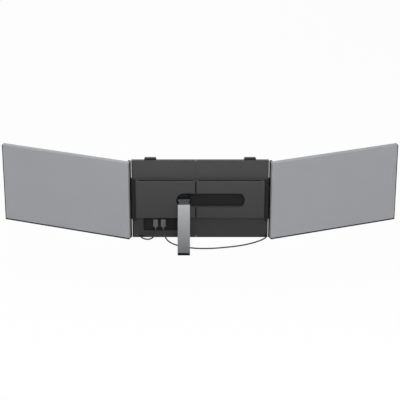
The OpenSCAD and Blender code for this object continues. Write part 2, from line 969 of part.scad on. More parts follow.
// a ring of points square to the route at one of its points
function ring(route, i, r, n) =
    let (
        t = heading(route, i),
        a = unit(cross(t, abs(t[2]) > 0.9 ? [0, 1, 0] : [0, 0, 1])),
        b = cross(t, a)
    )
    [for (k = [0 : n - 1]) route[i] + r * (cos(360 * k / n) * a + sin(360 * k / n) * b)];

// points halfway round each bend, on a smooth curve through the route
function finer(route) = [
    for (i = [0 : len(route) - 2])
        for (half = [0, 1])
            half == 0 ? route[i]
                : (route[i] + route[i + 1]) / 2
                    + (heading(route, i) - heading(route, i + 1))
                        * norm(route[i + 1] - route[i]) / 8,
    route[len(route) - 1]
];

module tube(route, d) {
    sides = 8;
    last = len(route) - 1;
    points = [for (i = [0 : last]) each ring(route, i, d / 2, sides)];
    skin = [
        for (i = [0 : last - 1], k = [0 : sides - 1])
            let (a = i * sides + k, b = i * sides + (k + 1) % sides)
                each [[a, b, b + sides], [a, b + sides, a + sides]]
    ];
    first_cap = [[for (k = [0 : sides - 1]) sides - 1 - k]];
    last_cap = [[for (k = [0 : sides - 1]) last * sides + k]];
    polyhedron(points, concat(skin, first_cap, last_cap), convexity = 8);
}

// ---------- the sub-parts ----------

module left_back_plate() { color(CHARCOAL) plate_half(LEFT); }
module right_back_plate() { color(CHARCOAL) plate_half(RIGHT); }
module left_housing() { color(CHARCOAL) housing(LEFT); }
module right_housing() { color(CHARCOAL) housing(RIGHT); }
module left_front_cover() { color(DARK) front_cover(LEFT); }
module right_front_cover() { color(DARK) front_cover(RIGHT); }
module left_cover_screws() { color(STEEL) cover_screws(LEFT); }
module right_cover_screws() { color(STEEL) cover_screws(RIGHT); }
module left_lid_pads() { color(RUBBER) lid_pads(LEFT); }
module right_lid_pads() { color(RUBBER) lid_pads(RIGHT); }
module left_lead_grommet() { color(RUBBER) lead_grommet(LEFT); }
module right_lead_grommet() { color(RUBBER) lead_grommet(RIGHT); }
module left_vent() { color(BLACK) vent(LEFT); }
module right_vent() { color(BLACK) vent(RIGHT); }
module left_hinge_bracket() { color(DARK) hinge_bracket(LEFT); }
module right_hinge_bracket() { color(DARK) hinge_bracket(RIGHT); }
module left_hinge_pins() { color(STEEL) hinge_pins(LEFT); }
module right_hinge_pins() { color(STEEL) hinge_pins(RIGHT); }
module left_clip() { color(DARK) clip(LEFT); }
module right_clip() { color(DARK) clip(RIGHT); }
module left_clip_pad() { color(RUBBER) clip_pad(LEFT); }
module right_clip_pad() { color(RUBBER) clip_pad(RIGHT); }
module left_screen_cover() { color(COVER_GREY) screen_cover(LEFT); }
module right_screen_cover() { color(COVER_GREY) screen_cover(RIGHT); }
module left_screen_frame() { color(BLACK) screen_frame(LEFT); }
module right_screen_frame() { color(BLACK) screen_frame(RIGHT); }
module left_screen_panel() { color("#101418") screen_panel(LEFT); }
module right_screen_panel() { color("#101418") screen_panel(RIGHT); }
module left_driver_board() { color("#1f4d34") driver_board(LEFT); }
module right_driver_board() { color("#1f4d34") driver_board(RIGHT); }
module left_hinge_spine() { color(BLACK) hinge_spine(LEFT); }
module right_hinge_spine() { color(BLACK) hinge_spine(RIGHT); }
module left_hinge_leaves() { color(DARK) hinge_leaves(LEFT); }
module right_hinge_leaves() { color(DARK) hinge_leaves(RIGHT); }
module left_menu_key() { color(BLACK) menu_key(LEFT); }
module right_menu_key() { color(BLACK) menu_key(RIGHT); }
module left_plug() { color("#626263") plug(plug_x[0]); }
module right_plug() { color("#626263") plug(plug_x[1]); }
module left_lead() { color("#565657") tube(finer(fitted(left_route, plug_x[0], grommet_x[0])), lead_d); }
module right_lead() { color("#565657") tube(finer(fitted(right_route, plug_x[1], grommet_x[1])), lead_d); }

left_back_plate();
left_housing();
left_front_cover();
left_cover_screws();
left_hinge_bracket();
left_hinge_pins();
left_lid_pads();
left_lead_grommet();
left_vent();
color(BLACK) port_bay_liner();
color(DARK) slide_tray();
color(BLACK) slot_floor();
color("#1f4d34") hub_board();
color(STEEL) usb_c_sockets();
color(STEEL) mini_hdmi_socket();
color(STEEL) stand_pivot();
color(STEEL) stand_washer();
right_back_plate();
right_housing();
right_front_cover();
right_cover_screws();
right_hinge_bracket();
right_hinge_pins();
right_lid_pads();
right_lead_grommet();
right_vent();
color(DARK) swivel_disc();
color("#4d4d4e") leg_yoke();
color(STEEL) leg_pin();
color("#a8a9ab") leg();
color("#4d4d4e") leg_head();
color(RUBBER) leg_foot();
left_clip();
left_clip_pad();
right_clip();
right_clip_pad();
left_screen_cover();
left_screen_frame();
left_screen_panel();
left_driver_board();
left_hinge_spine();
left_hinge_leaves();
left_menu_key();
right_screen_cover();
right_screen_frame();
right_screen_panel();
right_driver_board();
right_hinge_spine();
right_hinge_leaves();
right_menu_key();
left_plug();
right_plug();
left_lead();
right_lead();
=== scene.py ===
# %% [markdown]
# # A laptop screen extender
#
# A telescoping plate hangs behind a laptop's lid and carries one screen on each side.
# A leg behind it takes the weight, and each screen's lead plugs into the plate's own hub.
# The solid model already exists and is loaded first: it fixes every size and every joint.
# This script gives it light, finishes, soft leads and the small pieces that a solid model
# leaves plain.

# %% Load the solid model
import math

import bmesh
import bpy
from mathutils import Matrix, Vector
from mathutils.geometry import interpolate_bezier


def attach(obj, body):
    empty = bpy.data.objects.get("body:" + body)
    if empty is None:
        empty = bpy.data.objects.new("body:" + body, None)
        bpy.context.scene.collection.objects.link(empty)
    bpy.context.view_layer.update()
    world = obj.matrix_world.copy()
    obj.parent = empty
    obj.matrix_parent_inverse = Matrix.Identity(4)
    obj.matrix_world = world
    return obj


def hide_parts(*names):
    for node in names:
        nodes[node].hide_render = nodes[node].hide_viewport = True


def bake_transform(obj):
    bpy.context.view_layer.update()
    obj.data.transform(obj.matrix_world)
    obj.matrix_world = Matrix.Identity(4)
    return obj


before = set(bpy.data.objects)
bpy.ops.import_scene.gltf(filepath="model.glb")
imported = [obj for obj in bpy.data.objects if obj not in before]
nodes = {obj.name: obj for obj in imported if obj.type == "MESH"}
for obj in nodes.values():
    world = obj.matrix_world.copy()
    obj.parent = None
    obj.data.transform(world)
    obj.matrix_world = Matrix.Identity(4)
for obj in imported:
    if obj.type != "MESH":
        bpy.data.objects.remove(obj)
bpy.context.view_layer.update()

MM = 0.001
print("nodes loaded:", len(nodes))

# %% [markdown]
# The camera comes first, because the free leads have to lie where it sees them.
# The object is seen from behind, a little from above, and from far away with a long lens,
# so that its two ends keep their size. A long lens needs the camera well back: with a lens
# of 144 mm on a sensor of 36 mm, a width of 0.92 m fills the picture at 3.7 m.

# %% Camera
ELEVATION = math.radians(24)
DISTANCE = 3.68
LENS = 144.12
SENSOR_WIDTH = 36
CLIP_END = 50
look_at = Vector((-0.2 * MM, -3.5 * MM, 94.7 * MM))

camera = bpy.data.objects.new("camera", bpy.data.cameras.new("camera"))
camera.data.lens = LENS
camera.data.sensor_width = SENSOR_WIDTH
camera.data.clip_end = CLIP_END
camera.location = look_at + DISTANCE * Vector((0, -math.cos(ELEVATION), math.sin(ELEVATION)))
camera.rotation_euler = (math.radians(90) - ELEVATION, 0, 0)
bpy.context.scene.collection.objects.link(camera)
bpy.context.scene.camera = camera
print("camera at", [round(v, 3) for v in camera.location])

# %% [markdown]
# Shader maths reads best as Python. A `Wire` is one output socket of a node, and adding,
# subtracting or multiplying wires adds the Math nodes that do it. The other way is to write
# every node and link by hand, which hides the idea behind dozens of lines.

# %% A wire between nodes
class Wire:
    """An output socket, with operators that add Math nodes."""

    def __init__(self, shading, socket):
        self.shading, self.socket = shading, socket

    def maths(self, operation, first, second):
        return self.shading.add("ShaderNodeMath", {"operation": operation}, {0: first, 1: second})

    def __add__(self, other):
        return self.maths("ADD", self, other)

    def __mul__(self, other):
        return self.maths("MULTIPLY", self, other)

    def __sub__(self, other):
        return self.maths("SUBTRACT", self, other)

    def __rsub__(self, other):
        return self.maths("SUBTRACT", other, self)

    __radd__ = __add__
    __rmul__ = __mul__

# %% [markdown]
# A `Shading` is a node tree, of a material or of the sky. One call adds a node: it gives the
# kind, the settings, and for each socket either a wire to link or a value to set.

# %% A tree of nodes
SEEN_RAYS = (0, 3, 6)  # the Light Path node's camera, glossy and transmission outputs


class Shading:
    """A node tree that nodes are added to, each with its settings and what its sockets get."""

    def __init__(self, owner):
        owner.use_nodes = True
        self.tree = owner.node_tree

    def add(self, kind, settings, sockets, out=0):
        node = self.tree.nodes.new(kind)
        for name, value in settings.items():
            setattr(node, name, value)
        for name, value in sockets.items():
            self.feed(node.inputs[name], value)
        return Wire(self, node.outputs[out])

    def feed(self, socket, value):
        if isinstance(value, Wire):
            self.tree.links.new(value.socket, socket)
        else:
            socket.default_value = value

    def seen(self):
        """1 where a ray comes straight from the camera, a reflection or a clear piece."""
        first, second, third = [
            self.add("ShaderNodeLightPath", {}, {}, out=kind) for kind in SEEN_RAYS]
        return first.maths("MAXIMUM", first.maths("MAXIMUM", first, second), third)

# %% [markdown]
# A `Finish` is the node tree of one material. Its patterns read object coordinates, so they
# are in metres and stay on a piece that moves. It has the few patterns that this object
# needs: noise, a blend of two colours, a painted shade that darkens by height, and a bump.

# %% A material's own tree
OBJECT_COORDINATES = 3  # the Texture Coordinate node's output


class Finish(Shading):
    """A material with one Principled shader; `constants` go straight on its sockets."""

    def __init__(self, name, constants):
        self.material = bpy.data.materials.new(name)
        super().__init__(self.material)
        self.shader = self.tree.nodes["Principled BSDF"]
        for socket, value in constants.items():
            self.shader.inputs[socket].default_value = value

    def coordinates(self):
        return self.add("ShaderNodeTexCoord", {}, {}, out=OBJECT_COORDINATES)

    def place(self, stretch=(1, 1, 1)):
        """Object coordinates, scaled along each axis."""
        return self.add("ShaderNodeMapping", {}, {"Vector": self.coordinates(), "Scale": stretch})

    def noise(self, size, detail=2.0, stretch=(1, 1, 1)):
        """Cloudy noise whose clouds are about `size` metres across."""
        return self.add("ShaderNodeTexNoise", {}, {
            "Vector": self.place(stretch), "Scale": 1 / size, "Detail": detail})

    def blend(self, factor, dark, light):
        """A colour between two, by a factor from 0 to 1. Each is a colour or a wire."""
        dark, light = (c if isinstance(c, Wire) else (*c, 1) for c in (dark, light))
        sockets = {0: factor, 6: dark, 7: light}  # the Mix node's colour sockets
        return self.add("ShaderNodeMix", {"data_type": "RGBA"}, sockets, out=2)

    def fade(self, painted_shade_colour, high, top):
        """Painted shade: from `painted_shade_colour` on the table to `high` at `top` metres up."""
        up = self.add("ShaderNodeSeparateXYZ", {}, {"Vector": self.coordinates()}, out=2)
        height = self.add("ShaderNodeMapRange", {}, {"Value": up, "From Max": top})
        return self.blend(height, painted_shade_colour, high)

    def bump(self, height, depth):
        return self.add("ShaderNodeBump", {}, {
            "Strength": 1.0, "Distance": depth, "Height": height})

    def paint(self, **sockets):
        """Feeds the shader: base_color, roughness, metallic or normal."""
        for name, wire in sockets.items():
            self.feed(self.shader.inputs[name.replace("_", " ").title()], wire)
        return self.material

# %% [markdown]
# Colours are written as levels from 0 to 255, as a colour picker shows them. The renderer
# works in linear light, in which mid grey is only a fifth of white, so they are converted.

# %% Colours
def srgb(*levels):
    """Linear colour from levels of 0 to 255, by the sRGB curve."""
    return tuple(((v / 255 + 0.055) / 1.055) ** 2.4 if v > 10 else v / 255 / 12.92 for v in levels)


def lighter(color, share):
    return tuple(min(1.0, v * (1 + share)) for v in color)


print("mid grey is", round(srgb(128)[0], 3), "in linear light")

# %% [markdown]
# The plate and its raised middle are moulded in charcoal plastic. The mould is spark-eroded,
# which leaves a fine even grain that scatters light, and large mouldings always show a faint
# cloudiness. Both are noise: a coarse one in the colour and a fine one in a bump. The plate's
# colour is also painted darker towards the table by a painted shade by height: painted
# shade, for the light from above that reaches the lower part less. Modelling the grain
# as geometry would need millions of faces for the same look.

# %% Moulded plastics and rubber
PLATE_TOP = 193 * MM
CLOUD_SIZE = 45 * MM
CLOUD_CONTRAST = 0.05
GRAIN_SIZE = 0.45 * MM
GRAIN_DEPTH = 0.03 * MM


def moulded(name, color, roughness, painted_shade_colour=None, grain=GRAIN_SIZE, depth=GRAIN_DEPTH, gloss=0.15):
    """Plastic of one colour, or painted darker to `painted_shade_colour` near the table as shade.
    """
    finish = Finish(name, {"IOR": 1.5, "Specular IOR Level": gloss})
    clouds = finish.noise(CLOUD_SIZE, 3.0)
    fine = finish.noise(grain)
    shade = finish.blend(clouds * 0.6 + fine * 0.4,
                         lighter(color, -CLOUD_CONTRAST), lighter(color, CLOUD_CONTRAST))
    if painted_shade_colour:
        shade = finish.fade(painted_shade_colour, shade, PLATE_TOP)
    return finish.paint(
        base_color=shade,
        roughness=roughness - 0.08 + clouds * 0.1 + fine * 0.06,
        normal=finish.bump(fine, depth))


# Painted shade: the plate's colour is darker near the table, where less light falls.
plate_plastic = moulded("charcoal moulded shell", srgb(73, 73, 74), 0.6,
                        painted_shade_colour=srgb(58, 58, 59), gloss=0.08)
dark_plastic = moulded("black satin plastic", srgb(40, 40, 41), 0.55, gloss=0.1)
# Black plastic; on the slot floor, port bay lining and vents it is painted shade for those
# recesses.
black_plastic_and_recess_shade = moulded("matt black inner plastic", srgb(41, 41, 42), 0.7, gloss=0.05)
bezel_plastic = moulded("black bezel plastic", srgb(24, 24, 25), 0.6, gloss=0.005)
disc_plastic = moulded("matt black disc", srgb(28, 28, 29), 0.6, gloss=0.05)
plug_plastic = moulded("grey overmoulded grip", srgb(96, 96, 97), 0.55, depth=0.05 * MM)
# Plastic of the leg head; on the disc collar its lighter tone is a painted highlight.
head_plastic_and_collar_highlight = moulded("dark leg head", srgb(58, 58, 59), 0.55)
rubber = moulded("soft black rubber", srgb(20, 20, 21), 0.8,
                 grain=0.8 * MM, depth=0.08 * MM, gloss=0.03)
jacket = moulded("grey lead jacket", srgb(64, 64, 66), 0.5, depth=0.02 * MM, gloss=0.08)
print("materials so far:", len(bpy.data.materials))

# %% [markdown]
# The screens' covers and the leg are metal under a silver-grey lacquer. Lacquer with fine
# flake is not a mirror: the flakes tilt this way and that, so it glitters faintly up close
# and reads as an even satin from afar. A cell pattern a third of a millimetre wide turns
# each flake a little lighter or darker, and a fine bump stands for the tilt. The leg shows
# more speckle than the covers, most of all near its foot. The leg's colour is also painted
# darker towards its foot: painted shade, for the light from above that reaches it less there.

# %% Lacquered metal
LEG_TOP = 90 * MM
FLAKE_SIZE = 0.35 * MM
PEEL_SIZE = 0.6 * MM
SPECKLE_SIZE = 2.2 * MM
SHEEN_SIZE = 120 * MM
FLAKE_CONTRAST = 0.06
FOOT_CONTRAST = 0.16


def lacquer(name, color, roughness, painted_shade_colour=None, gloss=0.03, speckle=0.25):
    """Lacquer of one colour, or painted darker to `painted_shade_colour` near the table as shade.
    """
    finish = Finish(name, {"Specular IOR Level": gloss})
    cells = finish.add("ShaderNodeTexVoronoi", {"feature": "F1"}, {
        "Vector": finish.place(), "Scale": 1 / FLAKE_SIZE}, out=1)
    flake = finish.add("ShaderNodeSeparateColor", {}, {"Color": cells})
    clouds = finish.noise(SHEEN_SIZE)
    fine = finish.noise(PEEL_SIZE)
    blast = finish.noise(SPECKLE_SIZE, 1.0)
    tone = clouds * 0.4 + flake * 0.25 + fine * 0.1 + (blast - 0.5) * speckle + 0.125
    shade = finish.blend(tone, lighter(color, -FLAKE_CONTRAST), lighter(color, FLAKE_CONTRAST))
    # Painted shade: the darker foot colour, speckled, takes over towards the table.
    if painted_shade_colour:
        foot = finish.blend(tone, lighter(painted_shade_colour, -FOOT_CONTRAST), lighter(painted_shade_colour, FOOT_CONTRAST))
        shade = finish.fade(foot, shade, LEG_TOP)
    return finish.paint(
        base_color=shade,
        roughness=roughness - 0.05 + clouds * 0.06 + flake * 0.05,
        metallic=flake * 0.04,
        normal=finish.bump(fine, 0.02 * MM))


cover_lacquer = lacquer("silver grey cover", srgb(156, 157, 161), 0.5)
# Painted shade: the leg's darker colour near its foot.
leg_lacquer = lacquer("silver grey leg", srgb(161, 162, 164), 0.45,
                      painted_shade_colour=srgb(94, 94, 96), speckle=1.8)
hinge_paint = lacquer("black hinge paint", srgb(34, 34, 35), 0.5, gloss=0.08)
print("materials so far:", len(bpy.data.materials))

# %% [markdown]
# Pins, screws and sockets are bare steel, drawn or brushed along one way. Noise that is
# stretched into long thin streaks gives that in both the roughness and the bump. A panel
# that is switched off is nearly black glass with a fine etch against glare, and a circuit
# board is green mask with paler tracks, for which a brick pattern is the quickest stand-in.

# %% Steel, glass and circuit boards
BRUSHED_ALONG_Z = (1, 1, 0.05)
STREAK_WIDTH = 0.25 * MM
ETCH_SIZE = 0.3 * MM
HAZE_SIZE = 160 * MM
TRACKS_PER_METRE = 60.0


def steel():
    finish = Finish("brushed steel", {"Metallic": 1.0})
    streaks = finish.noise(STREAK_WIDTH, 3.0, BRUSHED_ALONG_Z)
    return finish.paint(
        base_color=finish.blend(streaks, srgb(150, 151, 153), srgb(182, 183, 186)),
        roughness=0.26 + streaks * 0.16,
        normal=finish.bump(streaks, 0.01 * MM))


def screen_glass():
    finish = Finish("switched-off screen", {"IOR": 1.52, "Specular IOR Level": 0.25})
    etch = finish.noise(ETCH_SIZE, 1.0)
    haze = finish.noise(HAZE_SIZE, 1.0)
    return finish.paint(
        base_color=finish.blend(haze, srgb(14, 15, 18), srgb(19, 20, 24)),
        roughness=0.2 + etch * 0.08,
        normal=finish.bump(etch, 0.004 * MM))


def board():
    finish = Finish("green circuit board", {"Roughness": 0.35})
    tracks = finish.add("ShaderNodeTexBrick", {}, {
        "Vector": finish.place(), "Scale": TRACKS_PER_METRE, "Mortar Size": 0.03}, out=1)
    return finish.paint(
        base_color=finish.blend(tracks, srgb(24, 78, 50), srgb(58, 118, 74)),
        normal=finish.bump(tracks, 0.03 * MM))


bright_steel, panel_glass, green_board = steel(), screen_glass(), board()
print("materials so far:", len(bpy.data.materials))

# %% [markdown]
# Each piece of the solid model gets its finish by the last words of its name, so that one
# line serves the left and the right piece alike. Naming every piece would also work, but a
# piece that is forgotten would then stay plain: here the last line prints such a piece.

# %% Put the finishes on the solid model's pieces
FINISHES = {
    plate_plastic: ["back_plate", "housing"],
    dark_plastic: ["front_cover", "clip", "slide_tray"],
    disc_plastic: ["swivel_disc"],
    # Painted shade: black linings where the recesses are in shade.
    black_plastic_and_recess_shade: ["slot_floor", "port_bay_liner", "vent"],
    bezel_plastic: ["screen_frame", "hinge_spine", "menu_key"],
    hinge_paint: ["hinge_bracket", "hinge_leaves", "stand_pivot"],
    rubber: ["lid_pads", "lead_grommet", "clip_pad", "leg_foot"],
    cover_lacquer: ["screen_cover"],
    leg_lacquer: ["leg"],
    head_plastic_and_collar_highlight: ["leg_head", "leg_yoke"],
    bright_steel: ["cover_screws", "hinge_pins", "socket", "sockets", "stand_washer", "leg_pin"],
    panel_glass: ["screen_panel"],
    green_board: ["board"],
    plug_plastic: ["plug"],
    jacket: ["lead"],
}


def wear(piece, material):
    piece.data.materials.clear()
    piece.data.materials.append(material)


for material, endings in FINISHES.items():
    tails = tuple("_" + ending for ending in endings)
    for name, piece in nodes.items():
        if ("_" + name).endswith(tails):
            wear(piece, material)
bare = [n for n, o in nodes.items() if not o.data.materials or o.data.materials[0] not in FINISHES]
print("nodes without a finish:", bare)

# %% [markdown]
# Each screen's lead comes out of the plate's lower edge and runs along the table to its plug.
# Its route is a list of points in millimetres from the plug to the grommet: straight down out
# of the plug, round onto the table, and up again into the plate.

# %% Routes of the leads
LEAD_DIAMETER = 3.2 * MM
LEFT_ROUTE = [
    (-102.7, -9.5, 30.5), (-102.7, -9.5, 25.5), (-102.7, -9.6, 20.5), (-103, -10.4, 15.2),
    (-104.3, -12, 10.5), (-106.8, -13.8, 7), (-110.3, -15.4, 4.4), (-114.5, -16.8, 2.6),
    (-119, -17.6, 1.7), (-123.7, -17.4, 1.6), (-128.2, -15.8, 1.7), (-132.2, -13, 1.9),
    (-135.3, -9.9, 2.4), (-137.1, -7.3, 3), (-137.5, -5.2, 3.2), (-137.5, -3.4, 3.2),
]
RIGHT_ROUTE = [
    (-84.9, -9.5, 30.5), (-84.9, -9.5, 25.5), (-84.8, -9.6, 20.5), (-84.2, -10.4, 15.2),
    (-82.6, -12.4, 10), (-80.4, -15.6, 6.2), (-77.8, -20, 3.5), (-74.5, -25.6, 2),
    (-70.5, -32, 1.6), (-65.5, -38.6, 1.6), (-59, -45, 1.6), (-51, -50.8, 1.6),
    (-41.5, -56, 1.6), (-31, -60.4, 1.6), (-19.5, -63.8, 1.6), (-6, -66.2, 1.6),
    (8, -67, 1.6), (22, -66.6, 1.6), (36, -65, 1.6), (50, -62.4, 1.6),
    (64, -59.4, 1.6), (78, -55.8, 1.6), (92, -51.4, 1.6), (105, -46, 1.6),
    (117, -39.8, 1.6), (127.5, -33, 1.6), (136.8, -25.8, 1.6), (144.4, -18.8, 1.6),
    (149.8, -12.8, 2), (152.6, -8.4, 2.8), (153.3, -5.4, 3.2), (153.3, -3.4, 3.2),
]
print("points on the routes:", len(LEFT_ROUTE), "and", len(RIGHT_ROUTE))

# %% [markdown]
# A lead is a fixed length of something soft, so it is drawn as one smooth curve through its
# route, given a round section and then made a mesh. Points along the same curve give its
# length. The right-hand lead starts on the half of the plate that slides.

# %% Leads
STEPS_BETWEEN_POINTS = 5
SECTION_RESOLUTION = 4


def link(name, data):
    piece = bpy.data.objects.new(name, data)
    bpy.context.scene.collection.objects.link(piece)
    return piece


def smooth_line(route):
    """A curve object through the route, and the points along it."""
    curve = bpy.data.curves.new("line", "CURVE")
    curve.dimensions = "3D"
    spline = curve.splines.new("BEZIER")
    spline.bezier_points.add(len(route) - 1)
    for point, where in zip(spline.bezier_points, route):
        point.co = Vector(where) * MM
        point.handle_left_type = point.handle_right_type = "AUTO"
    piece = link("line", curve)
    bpy.context.view_layer.update()
    path = []
    for a, b in zip(spline.bezier_points[:-1], spline.bezier_points[1:]):
        path += interpolate_bezier(
            a.co, a.handle_right, b.handle_left, b.co, STEPS_BETWEEN_POINTS + 1)[:-1]
    path.append(spline.bezier_points[-1].co.copy())
    return piece, [Vector(p) for p in path]


def lead(name, route):
    line, path = smooth_line(route)
    line.data.resolution_u = STEPS_BETWEEN_POINTS
    line.data.bevel_depth = LEAD_DIAMETER / 2
    line.data.bevel_resolution = SECTION_RESOLUTION
    line.data.use_fill_caps = True
    ready = line.evaluated_get(bpy.context.evaluated_depsgraph_get())
    mesh = bpy.data.meshes.new_from_object(ready)
    bpy.data.objects.remove(line)
    piece = link(name, mesh)
    for polygon in mesh.polygons:
        polygon.use_smooth = True
    wear(piece, jacket)
    length = sum((b - a).length for a, b in zip(path[:-1], path[1:]))
    print(name, "length", round(length, 4), "m")
    return piece, path, length


left_lead, left_path, left_length = lead("left_lead_soft", LEFT_ROUTE)
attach(left_lead, "left_frame")
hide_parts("left_lead")
right_lead, right_path, right_length = lead("right_lead_soft", RIGHT_ROUTE)
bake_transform(right_lead)
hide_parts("right_lead")

# %% [markdown]
# A small moulded piece starts as a cube and gets every edge rounded by a bevel, since no
# mould leaves an edge sharp. Rounding by hand would need a list of corner points instead.

# %% Rounded boxes
def span(centre, half):
    """A pair of numbers as far on both sides of a centre."""
    return centre - half, centre + half


def soft_box(shape, x, y, z, radius, segments=3):
    """A box between pairs of millimetres, with rounded edges."""
    pairs = (x, y, z)
    middle = Vector([sum(pair) / 2 for pair in pairs]) * MM
    size = [(pair[1] - pair[0]) * MM for pair in pairs]
    made = bmesh.ops.create_cube(
        shape, size=1, matrix=Matrix.Translation(middle) @ Matrix.Diagonal((*size, 1)))
    edges = list({edge for vert in made["verts"] for edge in vert.link_edges})
    bmesh.ops.bevel(shape, geom=edges, offset=radius * MM, segments=segments, profile=0.5,
                    affect="EDGES", material=-1)

# %% [markdown]
# A round piece starts as a cone between two points. A groove is four cuts round a piece, with
# the ring between the inner two drawn in, which is simpler than cutting a ring away.

# %% Cones and grooves
CONE_SEGMENTS = 32


def everything(shape):
    return shape.verts[:] + shape.edges[:] + shape.faces[:]


def cone(shape, base, tip, base_radius, tip_radius):
    """A round taper from one point to another, all in millimetres."""
    base, tip = Vector(base) * MM, Vector(tip) * MM
    turn = (tip - base).to_track_quat("Z", "Y").to_matrix().to_4x4()
    bmesh.ops.create_cone(
        shape, cap_ends=True, segments=CONE_SEGMENTS, radius1=base_radius * MM,
        radius2=tip_radius * MM, depth=(tip - base).length,
        matrix=Matrix.Translation((base + tip) / 2) @ turn)


def groove(shape, axis, level, width, shrink):
    """Cuts a moulded groove round a piece that stands on the (x, y) of `axis`."""
    for edge in (-width, -width / 2, width / 2, width):
        bmesh.ops.bisect_plane(shape, geom=everything(shape),
                               plane_co=(0, 0, (level + edge) * MM), plane_no=(0, 0, 1))
    ring = [v for v in shape.verts if abs(v.co.z - level * MM) < 0.6 * width * MM]
    bmesh.ops.scale(shape, vec=(*shrink, 1), verts=ring,
                    space=Matrix.Translation((-axis[0] * MM, -axis[1] * MM, 0)))

# %% [markdown]
# Every new piece is finished the same way: doubles merged, faces turned outwards, round parts
# smooth and sharp edges sharp, one material, and the name of the body that carries it.

# %% Finish a piece
MERGE_DISTANCE = 0.001 * MM
SHARP_ANGLE = math.radians(40)


def piece_of(name, shape, material, body):
    """A finished object from a bmesh, on the body that carries it."""
    bmesh.ops.remove_doubles(shape, verts=shape.verts, dist=MERGE_DISTANCE)
    bmesh.ops.recalc_face_normals(shape, faces=shape.faces)
    mesh = bpy.data.meshes.new(name)
    shape.to_mesh(mesh)
    shape.free()
    for polygon in mesh.polygons:
        polygon.use_smooth = True
    mesh.set_sharp_from_angle(angle=SHARP_ANGLE)
    piece = link(name, mesh)
    wear(piece, material)
    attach(piece, body)
    print(name, "faces:", len(mesh.polygons))
    return piece


print("edges above", round(math.degrees(SHARP_ANGLE)), "degrees stay sharp")

# %% [markdown]
# A lead's plug is a grip of soft plastic moulded over a steel shell. Four shallow grooves
# round the grip give the fingers hold. Under it a tapered boot keeps the lead from kinking,
# and above it a narrow collar leads to the shell that enters the socket. The solid model's
# plug is a plain block, so these pieces stand in for it. They start where the route starts.

# %% Plugs
BOOT_FOOT, GRIP_FOOT, GRIP_TOP, COLLAR_TOP, TIP_TOP = 26, 30.5, 49.2, 52.6, 59
PLUG_Y = -9.5
GRIP_GROOVES = (36, 38.6, 41.2, 43.8)
BOOT_GROOVES = (27.4, 28.9)
OVERLAP = 0.6  # how far a piece reaches into its neighbour
TIP_OVERLAP = 0.4


def plug(side, x):
    grip = bmesh.new()
    soft_box(grip, span(x, 5.7), span(PLUG_Y, 3.25), (GRIP_FOOT, GRIP_TOP), 1.4, 4)
    for level in GRIP_GROOVES:
        groove(grip, (x, PLUG_Y), level, 0.5, (0.94, 0.9))
    grip = piece_of(side + "_plug_grip", grip, plug_plastic, "left_frame")
    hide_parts(side + "_plug")

    boot = bmesh.new()
    cone(boot, (x, PLUG_Y, BOOT_FOOT), (x, PLUG_Y, GRIP_FOOT + OVERLAP), 2.05, 3)
    for level in BOOT_GROOVES:
        groove(boot, (x, PLUG_Y), level, 0.4, (0.88, 0.88))
    boot = piece_of(side + "_plug_boot", boot, plug_plastic, "left_frame")

    neck = bmesh.new()
    soft_box(neck, span(x, 4.9), span(PLUG_Y, 2.3), (GRIP_TOP - OVERLAP, COLLAR_TOP), 0.8)
    neck = piece_of(side + "_plug_collar", neck, black_plastic_and_recess_shade, "left_frame")

    tip = bmesh.new()
    soft_box(tip, span(x, 4.15), span(PLUG_Y, 1.2), (COLLAR_TOP - TIP_OVERLAP, TIP_TOP), 1.1, 4)
    tip = piece_of(side + "_plug_tip", tip, bright_steel, "left_frame")
    return [grip, boot, neck, tip]


LEADS = [(left_lead, left_path, left_length, plug("left", LEFT_ROUTE[0][0])),
         (right_lead, right_path, right_length, plug("right", RIGHT_ROUTE[0][0]))]

# %% [markdown]
# At its other end each lead comes out of a rubber grommet in the plate. A short tapered
# sleeve on the grommet spreads the bend, as the boot does at the plug. Two cones make it:
# a longer taper and a short flange, both where the lead's route ends.

# %% Sleeves at the grommets
SLEEVE_BASE, FLANGE_TIP, SLEEVE_TIP = -4.7, -5.3, -7  # y of each end
TAPER_RADII, FLANGE_RADII = (2.6, 1.95), (2.95, 2.85)

for side, route in (("left", LEFT_ROUTE), ("right", RIGHT_ROUTE)):
    x, z = route[-1][0], route[-1][2]
    sleeve = bmesh.new()
    cone(sleeve, (x, SLEEVE_BASE, z), (x, SLEEVE_TIP, z), *TAPER_RADII)
    cone(sleeve, (x, SLEEVE_BASE, z), (x, FLANGE_TIP, z), *FLANGE_RADII)
    piece_of(side + "_lead_sleeve", sleeve, rubber, side + "_frame")

# %% [markdown]
# The raised middle is in two halves that draw apart. A matt black strip lies in the groove
# between them and hides the lip that bridges it, and a narrow black rail closes the plate's
# side edges above and below each hinge. Thin boxes with rounded edges are enough for both.

# %% Strips and rails
SEAL_HEIGHTS = ((55.2, 79.8), (117, 144.8))  # the leg's slot interrupts it
RAIL_X, RAIL_Y = (155, 156.6), (-5.15, 1.8)
RAIL_ABOVE_HINGE = (147.6, 191.5)
RAIL_BELOW_HINGE = {"left": (2, 45), "right": (7, 45)}  # the right one clears its grommet

seal = bmesh.new()
for heights in SEAL_HEIGHTS:
    soft_box(seal, (-11.15, -8.4), (-12.1, -11.4), heights, 0.25)
piece_of("groove_seal", seal, rubber, "left_frame")

for side, sign in (("left", -1), ("right", 1)):
    rail = bmesh.new()
    x = sorted(sign * edge for edge in RAIL_X)
    for heights in (RAIL_ABOVE_HINGE, RAIL_BELOW_HINGE[side]):
        soft_box(rail, x, RAIL_Y, heights, 0.1, 2)
    piece_of(side + "_edge_rail", rail, rubber, side + "_frame")

